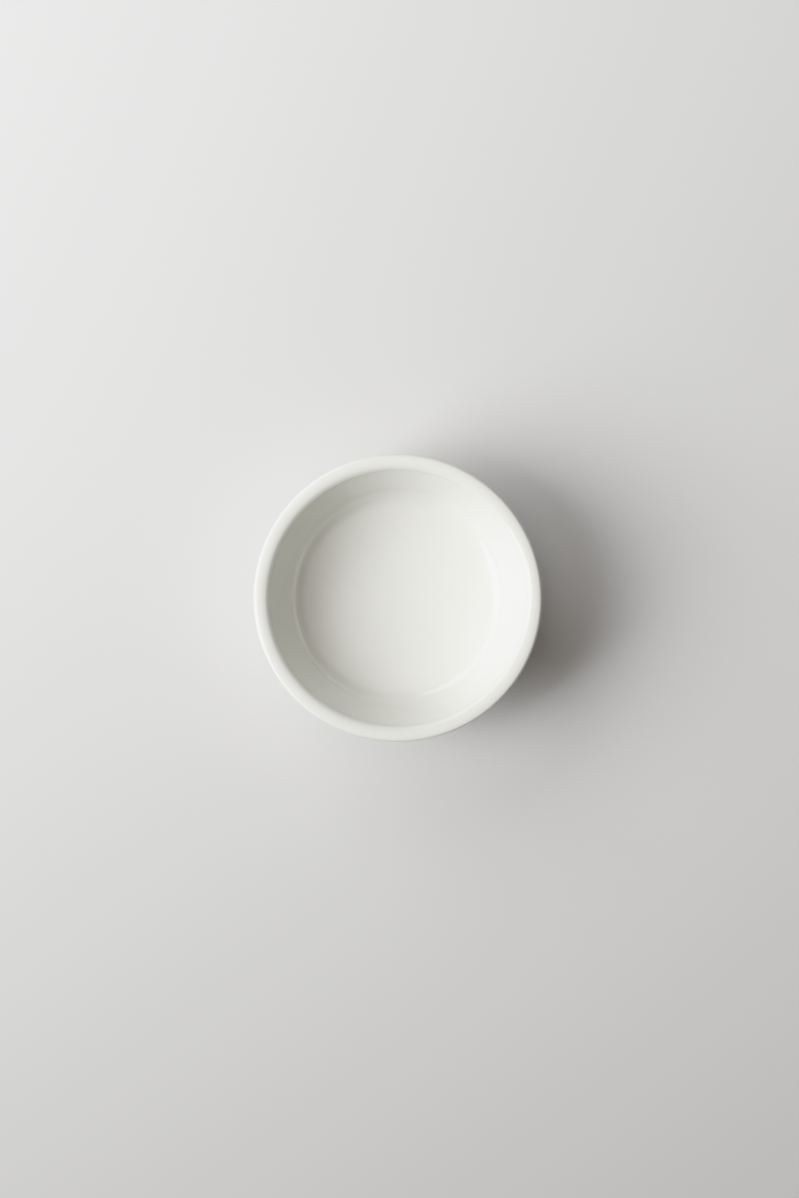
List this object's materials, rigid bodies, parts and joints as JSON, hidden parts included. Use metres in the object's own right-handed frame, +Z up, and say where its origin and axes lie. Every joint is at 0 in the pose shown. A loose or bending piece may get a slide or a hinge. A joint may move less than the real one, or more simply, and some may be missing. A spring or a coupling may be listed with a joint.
{
  "type": "evaporating dish",
  "caption": "Round flat-bottomed porcelain evaporating dish with a rolled rim, flared wall, white glaze and a bare foot ring.",
  "frame": {"origin": "centre of the foot ring, on the surface that the dish stands on", "axes": "+Z up along the dish's axis, out of its mouth; X and Y are alike, because the dish is round"},
  "size_m": [0.09, 0.09, 0.035],
  "materials": {
    "biscuit": "bare fired porcelain, fine matt grain",
    "glaze": "smooth off-white glaze, soft gloss"
  },
  "bodies": {
    "root": {"porcelain_body": "biscuit", "glaze_coat": "glaze"}
  },
  "joints": []
}
